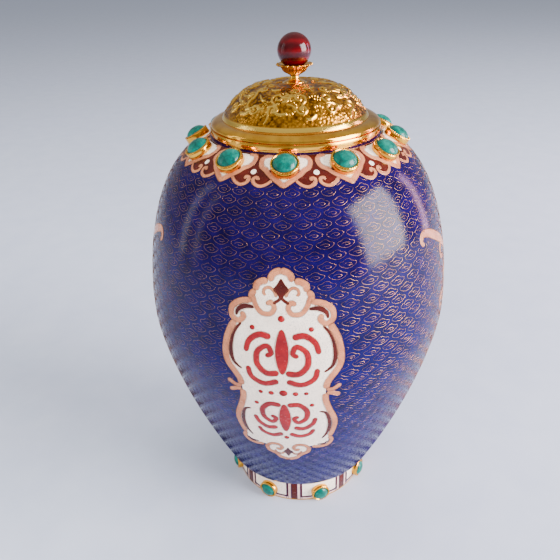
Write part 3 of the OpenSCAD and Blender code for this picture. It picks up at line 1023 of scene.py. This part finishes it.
def stones():
    for i in range(COLLAR_STONES):
        number = str(i + 1)
        setting("collar", number, collar_matrix(i), (STONE_R, 4.2), (2.8, 3.7, i), "collar_bezel_" + number)
    for i in range(FOOT_STONES):
        setting("foot", str(i + 1), foot_matrix(i), (FOOT_STONE_R, 4), (2.6, 2.9, 40 + i), "foot_bezels")


def setting(place, number, matrix, cup, crown, bezel_node):
    """A bezel of (stone radius, height) and its stone of (girdle, crown height, seed)."""
    slack = 0.15
    bezel, stone = Shape(), Shape()
    add_bezel(bezel, matrix, *cup)
    add_cabochon(stone, matrix, cup[0] - slack, *crown)
    bezel.make(place + "_bezel_cup_" + number, GILT, [bezel_node])
    stone.make(place + "_cabochon_" + number, TURQUOISE, [place + "_stone_" + number])


# ---- foot ----


def foot_slab(shape, angle_a, angle_b, z_a, z_b, lift):
    """A curved slab on the foot, between two angles and two heights."""
    steps = max(2, round((angle_b - angle_a) / math.radians(1.5)))
    r = FOOT_R - 0.3
    edge = 0.12
    rings = []
    for k in range(steps + 1):
        angle = angle_a + (angle_b - angle_a) * k / steps
        rings.append([around(angle, r - 0.7, z_a), around(angle, r + lift - 0.05, z_a),
                      around(angle, r + lift, z_a + edge), around(angle, r + lift, z_b - edge),
                      around(angle, r + lift - 0.05, z_b), around(angle, r - 0.7, z_b)])
    shape.tube(rings)


def foot_pieces():
    """The foot's enamel: white fields between dark bars, each framed by a brown line."""
    white, pink, brown, wires = Shape(), Shape(), Shape(), Shape()
    base, top = FOOT_LIP + 0.05, FOOT_TOP
    bar, strip, line = 4.2 / FOOT_R, 2.0 / FOOT_R, 1.2 / FOOT_R
    pitch = 2 * math.pi / FOOT_STONES
    for i in range(FOOT_STONES):
        middle = pitch * i
        foot_slab(brown, middle - bar / 2, middle + bar / 2, base, top, 0.12)
        a, b = middle + bar / 2, middle + pitch - bar / 2
        foot_slab(pink, a, b, base, top, 0.02)
        foot_slab(brown, a + strip, b - strip, base + 1.8, top - 0.2, 0.06)
        foot_slab(white, a + strip + line, b - strip - line, base + 2.8, top - 0.6, 0.1)
        for angle in (a, b, a + strip, b - strip, a + strip + line, b - strip - line):
            half = 0.17 / FOOT_R
            foot_slab(wires, angle - half, angle + half, base, top - 0.1, 0.17)
        for z, edge in ((base + 1.8, strip), (base + 2.8, strip + line)):
            foot_slab(wires, a + edge, b - edge, z - 0.17, z + 0.17, 0.17)
    white.make("foot_fields", WHITE, ["foot_enamel"])
    pink.make("foot_strips", PINK, ["foot_enamel"], slot="white_enamel")
    brown.make("foot_bars", BROWN, ["foot_enamel"])
    wires.make("foot_wires", WIRE, slot="brass")


# ---- lid ----


def flange_piece():
    """The lid's rim: an upright band, a fine groove and a rounded ledge."""
    inner = DOME_R - 1
    ledge = [(DOME_R + (RIM_R - 0.3 - DOME_R) * math.cos(math.radians(a)),
              SEAT_Z + 4 + 3.2 * math.sin(math.radians(a))) for a in range(0, 91, 10)]
    profile = [(inner + 2.1, 0), (RIM_R - 0.5, 0), (RIM_R - 0.12, 0.16), (RIM_R, 0.5), (RIM_R, 2.9),
               (RIM_R - 0.12, 3.1), (RIM_R - 0.5, 3.25), (RIM_R - 1.3, 3.4), (RIM_R - 1.35, 3.7)]
    profile = [(r, SEAT_Z + z) for r, z in profile]
    profile += ledge + [(inner, SEAT_Z + 7.2), (inner, SEAT_Z + 5.1), (inner + 2.1, SEAT_Z + 5.1)]

    def uneven(k, r, z, a):
        return r + (0.05 * math.sin(5 * a + 1) - 0.05 if r > RIM_R - 2 else 0), z

    Shape().lathe(profile, 240, uneven).make("lid_rim", GILT, ["lid_flange"], body="lid")


def dome_profile(t):
    """A point of the dome's outer curve, from its foot at t = 0 to the top at t = 1."""
    p = [(DOME_R, 7.2), (DOME_R - 12, 27.2), (16, 24.2), (0, 24.2)]
    w = ((1 - t) ** 3, 3 * (1 - t) ** 2 * t, 3 * (1 - t) * t * t, t ** 3)
    return sum(a * b[0] for a, b in zip(w, p)), SEAT_Z + sum(a * b[1] for a, b in zip(w, p))


def spiral(x, y, r, turn, way, turns=1.4):
    """A scroll that winds in from its tail, as (x, y) points."""
    out = []
    for k in range(26):
        t = k / 25
        a = turn + way * 2 * math.pi * turns * t
        rr = r * (1 - 0.82 * t)
        out.append((x + rr * math.cos(a), y + rr * math.sin(a)))
    start = out[0]
    tangent = turn - way * math.pi / 2
    tail = [(start[0] + d * math.cos(tangent + way * 0.08 * d),
             start[1] + d * math.sin(tangent + way * 0.08 * d)) for d in (6, 4.8, 3.6, 2.4, 1.2)]
    return tail + out


def relief_strokes():
    """Embossed forms of the dome, on its surface laid flat: (line, half width, height)."""
    rng = random.Random(11)
    strokes = []
    for count, ring, size in ((15, 34.6, 3.0), (12, 28, 3.4), (9, 21, 3.2), (6, 14, 2.8)):
        for k in range(count):
            a = 2 * math.pi * (k + rng.uniform(-0.18, 0.18)) / count + ring
            reach = ring + rng.uniform(-1.2, 1.2)
            x, y = reach * math.cos(a), reach * math.sin(a)
            way = 1 if (k + count) % 2 else -1
            strokes.append((spiral(x, y, size, a + rng.uniform(-1.4, 1.4), way, 1.2), 0.72, 0.7))
    for k in range(64):
        a = rng.uniform(0, 2 * math.pi)
        ring = 12 + 26 * math.sqrt(rng.random())
        sweep = rng.uniform(3, 7.5) / ring * (1 if k % 2 else -1)
        rise = rng.uniform(-3.4, 3.4)
        line = [((ring + rise * t + 0.9 * math.sin(3 * t)) * math.cos(a + sweep * t),
                 (ring + rise * t + 0.9 * math.sin(3 * t)) * math.sin(a + sweep * t))
                for t in [j / 10 for j in range(11)]]
        strokes.append((line, rng.uniform(0.6, 1.0), rng.uniform(0.7, 0.95)))
    return strokes


def relief_beads():
    """Arcs of small embossed beads between the scrolls, on the flattened dome."""
    rng = random.Random(23)
    arcs, reach, spacing = 34, 34, 1.5
    out = []
    for _ in range(arcs):
        x, y = rng.uniform(-reach, reach), rng.uniform(-reach, reach)
        start, r = rng.uniform(0, 2 * math.pi), rng.uniform(2.6, 4.6)
        step = spacing / r
        out += [(x + r * math.cos(start + step * j), y + r * math.sin(start + step * j))
                for j in range(rng.randint(4, 8))]
    return out


def relief_finder():
    """Points of the strokes and beads in a search tree, each with its half width and height."""
    spacing, bead_half, bead_rise = 0.3, 0.62, 0.75
    marks = []
    for line, half, rise in relief_strokes():
        for (ax, ay), (bx, by) in zip(line, line[1:]):
            pieces = max(1, round(math.hypot(bx - ax, by - ay) / spacing))
            for j in range(pieces):
                t = j / pieces
                marks.append((ax + (bx - ax) * t, ay + (by - ay) * t, half, rise))
    marks += [(x, y, bead_half, bead_rise) for x, y in relief_beads()]
    tree = kdtree.KDTree(len(marks))
    for k, (x, y, _, _) in enumerate(marks):
        tree.insert((x, y, 0), k)
    tree.balance()
    return marks, tree


def relief_height(x, y, marks, tree):
    """Height of the embossing from 0 in the recesses to about 0.9 mm on the highest forms."""
    widest_half, pebble_size, swell_size, ground = 1.25, 1.45, 5, 0.06
    best = 0.0
    for _, k, distance in tree.find_range((x, y, 0), widest_half):
        _, _, half, rise = marks[k]
        if distance < half:
            best = max(best, rise * math.sqrt(1 - (distance / half) ** 2))
    pebbles = 0.36 * (1 - min(1, noise.voronoi(Vector((x, y, 3)) / pebble_size)[0][0] * 1.5))
    swell = 0.14 * noise.noise(Vector((x, y, 7)) / swell_size)
    return max(best, pebbles + swell + ground)


def dome_piece():
    """The embossed dome: a fine mesh pressed out by its relief, over a plain inner face."""
    marks, tree = relief_finder()
    rows, segments, wall = 150, 640, 1
    foot_band, crown_band, fade, sink = 2.2, 6.2, 0.8, 0.45
    outer = [dome_profile(k / rows) for k in range(rows + 1)]
    top = outer[-1][1]
    run = [0.0]
    for a, b in zip(outer[::-1], outer[-2::-1]):
        run.append(run[-1] + length_of(a, b))
    run = run[::-1]
    shape = Shape()
    relief = []

    def pressed(k, r, z, a):
        band = min(1, max(0, (run[0] - run[k] - foot_band) / fade))
        crown = min(1, max(0, (run[k] - crown_band) / fade))
        amount = relief_height(run[k] * math.cos(a), run[k] * math.sin(a), marks, tree) * band * crown
        # The relief value drives the painted shade and highlight of the gilt: low in the recesses, high on
        # the forms and on the plain bands.
        relief.append(max(amount / 0.85, 1 - band * crown if band < crown else 0.8 * (1 - crown)))
        above, under = outer[k + 1], outer[max(k - 1, 0)]
        length = length_of(above, under)
        depth = amount - sink * band * crown
        return (r + (above[1] - under[1]) / length * depth,
                z + (under[0] - above[0]) / length * depth)

    shape.lathe(outer[:-1] + [(0, top)], segments, pressed)
    relief.append(0.8)
    inner = [(DOME_R - wall, SEAT_Z + 7.2)]
    inner += [(r - wall, z - wall) for r, z in outer[::6] if r > 1.5 and z > SEAT_Z + 8]
    starts = []
    for r, z in inner:
        starts.append(len(shape.verts))
        shape.verts += [around(2 * math.pi * j / segments, r, z) for j in range(segments)]
    tip = len(shape.verts)
    shape.verts.append(Vector((0, 0, top - wall)))
    for j in range(segments):
        i = (j + 1) % segments
        shape.faces.append((i, j, starts[0] + j, starts[0] + i))
        shape.faces += [(a + i, a + j, b + j, b + i) for a, b in zip(starts, starts[1:])]
        shape.faces.append((starts[-1] + i, starts[-1] + j, tip))
    relief += [0.6] * (len(shape.verts) - len(relief))
    piece = shape.make("embossed_dome", EMBOSSED, ["lid_dome"], body="lid", sharp=None)
    layer = piece.data.attributes.new("relief", "FLOAT", "POINT")
    layer.data.foreach_set("value", relief)


def finial_pieces():
    """The stem and the petal cup that holds the bead."""
    stem = [(0, 0), (5.5, 0), (5.6, 0.15), (5.45, 0.45), (4.6, 0.75), (3.6, 1.2), (2.9, 1.8),
            (2.55, 2.5), (2.3, 3.1), (2.3, 3.38), (0, 3.38)]
    stem = [(r, DOME_TOP + z) for r, z in stem]
    Shape().lathe(stem, 64).make("finial_foot", GILT, ["finial_stem"], body="lid")
    outside = [(0, 0), (2.25, 0), (3.0, 0.5), (4.2, 1.2), (5.3, 1.8), (6.2, 2.7), (6.6, 3.5), (7.3, 4.4),
               (8.4, 5.0), (CUP_R - 0.6, 5.5)]
    inside = [(CUP_R - 0.5, 0.35), (CUP_R - 1.2, 0.2), (7.6, 0.6), (5.2, 1.6), (0, 2.3)]
    cup = [(r, CUP_LOW + up) for r, up in outside] + [(r, CUP_HIGH - down) for r, down in inside]
    petals = 9
    swell_of_row = {4: 0.25, 5: 0.4, 6: 0.3, 7: 0.35, 8: 0.3}

    def petalled(k, r, z, a):
        return r + swell_of_row.get(k, 0) * (abs(math.cos(petals * a)) - 0.5), z

    shape = Shape().lathe(cup, 144, petalled)
    for k in range(2 * petals):
        centre = around(math.pi * k / petals, CUP_R - 0.85, CUP_HIGH - 0.62)
        shape.bead(centre, 0.84, 0.74, 8, 12)
    shape.make("finial_petal_cup", GILT, ["petal_cup"], body="lid")
    steps = 40
    bead = [(BEAD_R * math.sin(math.pi * k / steps), BEAD_Z - BEAD_R * math.cos(math.pi * k / steps))
            for k in range(steps + 1)]
    bead[0], bead[-1] = (0, bead[0][1]), (0, bead[-1][1])
    Shape().lathe(bead, 80).make("polished_bead", AGATE, ["agate_bead"], body="lid")


def frame_finishes():
    """Finishes of the CAD pieces that keep their own meshes."""
    finishes = {"lower_shell": COPPER, "upper_shell": COPPER, "inner_lining": LINING,
                "neck_ring": GILT, "foot_ring": GILT, "base_enamel": LINING, "lid_sleeve": GILT,
                "finial_rod": BRASS, "finial_washer": BRASS, "finial_nut": BRASS}
    for node, material in finishes.items():
        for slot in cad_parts[node].material_slots:
            slot.material = material


# ---- studio ----


def floor_piece():
    """A wide pale floor with the faint mottling of painted board."""
    half = 14.0
    mesh = bpy.data.meshes.new("floor")
    mesh.from_pydata([(-half, -half, 0), (half, -half, 0), (half, half, 0), (-half, half, 0)], [],
                     [(0, 1, 2, 3)])
    paint = Paint("floor_paint", Roughness=0.65)
    colour = paint.ramp(paint.noise(30, 4.0), (0.3, srgb(182, 192, 214)), (0.7, srgb(190, 199, 219)))
    paint.feed("Base Color", colour)
    mesh.materials.append(paint.material)
    floor = bpy.data.objects.new("floor", mesh)
    bpy.context.collection.objects.link(floor)


# Each lamp: azimuth from the front and elevation in degrees, distance, width and height in
# metres, power in watts, colour, and whether glossy surfaces mirror it
LAMPS = {
    "window_right": (75, 19, 2.4, 1.6, 1.7, 260, (1.0, 0.94, 0.97), True),
    "window_far_right": (118, 10, 1.0, 0.1, 0.6, 3, (1.0, 0.5, 0.8), True),
    "window_left": (-88, 18, 1.1, 0.1, 0.9, 1.0, (0.9, 0.94, 1.0), True),
    "door_left": (-74, 18, 1.2, 0.06, 0.9, 0.7, (1.0, 0.92, 0.92), True),
    "overhead": (180, 72, 1.3, 0.6, 0.6, 10, (1, 1, 1), False),
    "front_fill": (-25, 28, 3.2, 2.6, 2.4, 135, (1.0, 0.95, 0.88), False)}


def soft_box(name, azimuth, elevation, distance, width, height, power, colour, mirrored_in_gloss):
    """A rectangular light that faces the middle of the jar."""
    light = bpy.data.lights.new(name, "AREA")
    light.shape = "RECTANGLE"
    light.size, light.size_y = width, height
    light.energy = power
    light.color = colour
    lamp = bpy.data.objects.new(name, light)
    bpy.context.collection.objects.link(lamp)
    out = around(math.radians(azimuth), math.cos(math.radians(elevation)),
                 math.sin(math.radians(elevation)))
    lamp.location = Vector((0, 0, 0.15)) + out * distance
    lamp.rotation_euler = (-out).to_track_quat("-Z", "Y").to_euler()
    lamp.visible_glossy = mirrored_in_gloss


def studio():
    """The floor, a grey surround that is palest at the horizon and overhead, and the lamps."""
    floor_piece()
    world = bpy.data.worlds.new("studio")
    bpy.context.scene.world = world
    world.use_nodes = True
    nodes, links = world.node_tree.nodes, world.node_tree.links
    background = nodes["Background"]
    background.inputs["Strength"].default_value = 0.72
    place = nodes.new("ShaderNodeTexCoord").outputs["Generated"]
    split = nodes.new("ShaderNodeSeparateXYZ")
    ramp = nodes.new("ShaderNodeValToRGB")
    ramp.color_ramp.elements.new(0.2)
    for element, (at, grey) in zip(ramp.color_ramp.elements, ((0, 0.86), (0.22, 0.42), (0.8, 0.9))):
        element.position = at
        element.color = (grey, grey, grey * 1.03, 1)
    links.new(place, split.inputs[0])
    links.new(split.outputs["Z"], ramp.inputs["Fac"])
    links.new(ramp.outputs["Color"], background.inputs["Color"])
    for name, settings in LAMPS.items():
        soft_box(name, *settings)


def camera():
    """The camera, from its place, its turn away from the jar's axis, pitch, roll and lens."""
    azimuth, distance, height = math.radians(5.3), 0.3177, 0.3185
    yaw, pitch, roll = math.radians(1.95), math.radians(28.54), math.radians(-1.72)
    data = bpy.data.cameras.new("camera")
    data.sensor_width = 36
    data.lens = 37.28
    data.clip_start = 0.01
    view = bpy.data.objects.new("camera", data)
    bpy.context.collection.objects.link(view)
    heading = azimuth + yaw
    forward = Vector((-math.sin(heading) * math.cos(pitch), math.cos(heading) * math.cos(pitch),
                      -math.sin(pitch)))
    right = forward.cross(Vector((0, 0, 1))).normalized()
    up = right.cross(forward)
    across = math.cos(roll) * right + math.sin(roll) * up
    upward = math.cos(roll) * up - math.sin(roll) * right
    turn = Matrix((across, upward, -forward)).transposed().to_4x4()
    view.matrix_world = Matrix.Translation(
        (math.sin(azimuth) * distance, -math.cos(azimuth) * distance, height)) @ turn
    bpy.context.scene.camera = view


studio()
camera()
ground_piece()
tall_panel("front", 0, "front_panel")
tall_panel("back", math.pi, "back_panel")
side_medallion("right", math.pi / 2, "right_panel")
side_medallion("left", -math.pi / 2, "left_panel")
cloud_wires()
collar_ground()
collar_lappets()
stones()
foot_pieces()
flange_piece()
dome_piece()
finial_pieces()
frame_finishes()
